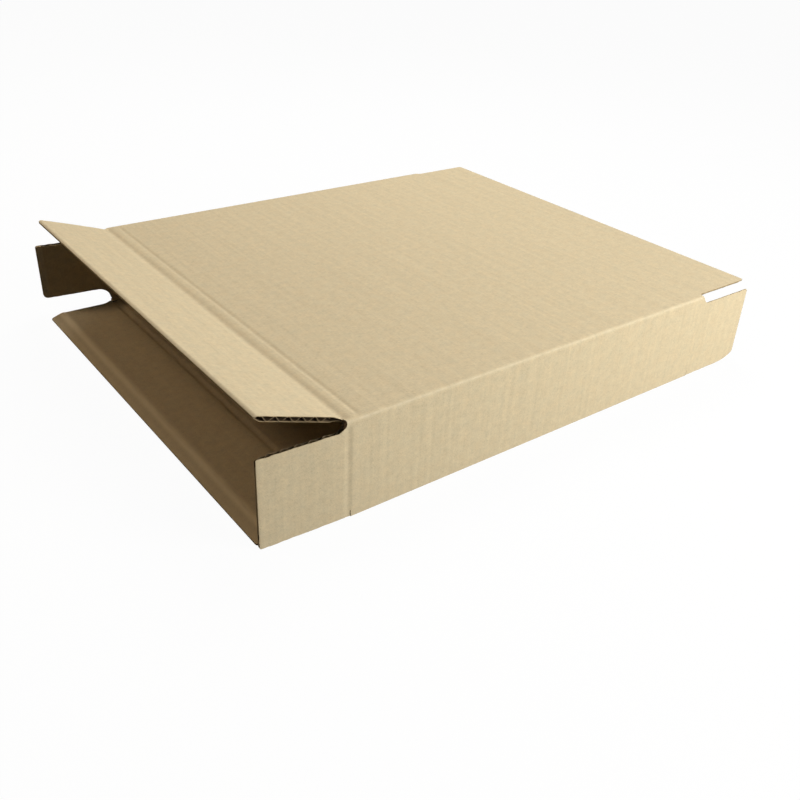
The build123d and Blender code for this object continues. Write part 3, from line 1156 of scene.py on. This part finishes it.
@dataclass
class Studio:
    """Pale floor, soft lamps and the camera at the photograph's viewing angle."""

    lamps: tuple[Softbox, ...] = (
        Softbox("high_softbox", (0.306, 0.324, 0.724), (0.0, 0.0, 0.04), 0.55, 4.6),
        Softbox("front_softbox", (0.326, -0.721, 0.310), (0.0, -0.05, 0.03), 0.45, 6.85),
        Softbox("warm_fill", (-0.85, 0.55, 1.05), (-0.12, 0.0, 0.02), 0.45, 3.4, (1.0, 0.78, 0.57)),
    )
    ambient: float = 0.010
    floor_half: float = 3.0
    floor_level: float = -0.2 * MM
    floor_white: float = 0.965
    floor_colour: tuple[float, float, float, float] = (0.92, 0.92, 0.91, 1.0)
    floor_bounce: tuple[float, float, float, float] = (0.14, 0.125, 0.10, 1.0)
    camera_place: tuple[float, float, float] = (-0.29545, -0.39234, 0.24692)
    camera_right: tuple[float, float, float] = (0.79072, -0.61019, 0.04929)
    camera_up: tuple[float, float, float] = (0.27309, 0.42365, 0.86368)
    lens: float = 40.004
    shift: tuple[float, float] = (-0.0225, -0.01125)

    def build(self) -> None:
        """Set up floor, world, lamps, camera and the plain view transform."""
        self.floor()
        self.world()
        for lamp in self.lamps:
            lamp.light()
        self.camera()
        bpy.context.scene.view_settings.view_transform = "Standard"

    @staticmethod
    def seen_ray(wiring: Wiring) -> NodeSocket:
        """1 for a ray from the camera, or one that a glossy or clear surface passes on."""
        path = wiring.node("ShaderNodeLightPath").outputs
        seen = wiring.math("MAXIMUM", path["Is Camera Ray"], path["Is Glossy Ray"])
        return wiring.math("MAXIMUM", seen, path["Is Transmission Ray"])

    def floor(self) -> None:
        """Lay a pale floor that looks white to the camera and keeps a soft shadow."""
        half, level = self.floor_half, self.floor_level
        mesh = bpy.data.meshes.new("floor")
        mesh.from_pydata([(-half, -half, level), (half, -half, level), (half, half, level),
                          (-half, half, level)], [], [(0, 1, 2, 3)])
        made = bpy.data.materials.new("pale_floor")
        made.use_nodes = True
        wiring = Wiring(made.node_tree)
        made.node_tree.nodes.remove(made.node_tree.nodes["Principled BSDF"])
        seen = self.seen_ray(wiring)
        tone = wiring.mix(seen, self.floor_bounce, self.floor_colour)
        paper = wiring.node("ShaderNodeBsdfDiffuse", {"Color": tone}).outputs[0]
        white = wiring.node("ShaderNodeEmission", {"Color": (1.0, 1.0, 1.0, 1.0), "Strength": 1.0}).outputs[0]
        share = wiring.math("MULTIPLY", seen, self.floor_white)
        mixed = wiring.node("ShaderNodeMixShader", {0: share, 1: paper, 2: white}).outputs[0]
        wiring.fill(made.node_tree.nodes["Material Output"], {"Surface": mixed})
        mesh.materials.append(made)
        floor = bpy.data.objects.new("floor", mesh)
        bpy.context.scene.collection.objects.link(floor)

    def world(self) -> None:
        """Light evenly from all round, and show white behind the floor."""
        world = bpy.data.worlds.new("studio")
        bpy.context.scene.world = world
        world.use_nodes = True
        wiring = Wiring(world.node_tree)
        seen = self.seen_ray(wiring)
        lit = wiring.math("MULTIPLY", wiring.math("SUBTRACT", 1.0, seen), self.ambient)
        wiring.fill(world.node_tree.nodes["Background"], {"Color": (1.0, 1.0, 1.0, 1.0),
                                                          "Strength": wiring.math("ADD", lit, seen)})

    def camera(self) -> None:
        """Stand the camera where the photograph was taken."""
        camera = bpy.data.cameras.new("camera")
        camera.lens, camera.sensor_width, camera.clip_start = self.lens, 36.0, 0.01
        camera.shift_x, camera.shift_y = self.shift
        stand = bpy.data.objects.new("camera", camera)
        right, up = Vector(self.camera_right).normalized(), Vector(self.camera_up).normalized()
        turned = Matrix((right, up, right.cross(up))).transposed().to_4x4()
        stand.matrix_world = Matrix.Translation(self.camera_place) @ turned
        bpy.context.scene.collection.objects.link(stand)
        bpy.context.scene.camera = stand


def end_flaps(blank: Blank) -> list[Flap]:
    """The eight flaps, with the scores that show on each.

    Args:
        blank: The blank that they are cut from.

    Returns:
        The flaps of the left end, then those of the right.
    """
    side_score = Score(1.4 * MM, 2.6 * MM, 0.28 * MM)
    top_score = Score(-1.6 * MM, 3.4 * MM, 0.34 * MM)
    # The second bottom score's pale line and the left bottom flap's paler outer edge are painted light, for
    # the strip beyond the score catching light from the open end.
    bottom_scores = (Score(0.0, 2.8 * MM, 0.85 * MM), Score(33.5 * MM, 2.3 * MM, -0.20 * MM, 1.3))
    return [
        Flap(blank, -1, Panel.TOP, (top_score,), low_corner=0.6 * MM, back_taper=2.6 * MM,
             inner_set_back=0.7 * MM, outer_pinch=0.90 * MM, inner_pinch=1.25 * MM, outer_run=1.8 * MM),
        Flap(blank, -1, Panel.BOTTOM, bottom_scores, low_corner=1.8 * MM, outer_pinch=0.4 * MM,
             inner_pinch=1.9 * MM, inner_run=7.0 * MM, edge_painted_light=0.6),
        Flap(blank, -1, Panel.FRONT, (side_score,), low_corner=0.8 * MM, high_corner=0.5 * MM, rag=0.2 * MM,
             inner_set_back=0.9 * MM),
        Flap(blank, -1, Panel.BACK, (side_score,), high_corner=2.0 * MM),
        Flap(blank, 1, Panel.TOP, low_corner=2.0 * MM, high_corner=2.0 * MM, low_out=1.6 * MM,
             slot_pinch=2.33 * MM),
        Flap(blank, 1, Panel.BOTTOM, (Score(0.0, 3.0 * MM, 0.20 * MM),), low_corner=1.8 * MM,
             outer_pinch=0.6 * MM, inner_pinch=0.75 * MM, inner_run=6.0 * MM),
        Flap(blank, 1, Panel.FRONT, low_corner=5.5 * MM, low_run=16.0 * MM, high_corner=1.6 * MM,
             slot_pinch=2.33 * MM),
        Flap(blank, 1, Panel.BACK, high_corner=2.0 * MM),
    ]


def report(piece: Object) -> None:
    """Log a piece and its number of faces."""
    log.info("%s: %d faces", piece.name, len(piece.data.polygons))


def main() -> None:
    """Build the studio, the sleeve and the eight flaps."""
    logging.basicConfig(level=logging.INFO, format="%(name)s: %(message)s")
    Studio().build()
    fibre_group, rub_and_highlight_group = kraft_fibre_group(), make_rub_and_highlight_group()
    finishes = (OUTER_KRAFT, INNER_KRAFT, CUT_EDGE_PAINTED_SHADE, FLUTE_PAINTED_SHADE)
    materials = [kraft.material(fibre_group, rub_and_highlight_group) for kraft in finishes]
    blank = Blank.from_frame(Board())
    sleeve = Sleeve(blank).skin().make("sleeve_board", materials)
    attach(sleeve, "sleeve")
    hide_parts("sleeve")
    report(sleeve)
    for flap in end_flaps(blank):
        piece = flap.skin().make(f"{flap.joint.child}_board", materials)
        flap.hang(piece)
        report(piece)
        if flap.panel is Panel.FRONT:
            lip = flap.lip_skin().make(f"{flap.joint.child}_lower_edge", materials)
            flap.hang_lip(lip)
            report(lip)


if __name__ == "__main__":
    main()
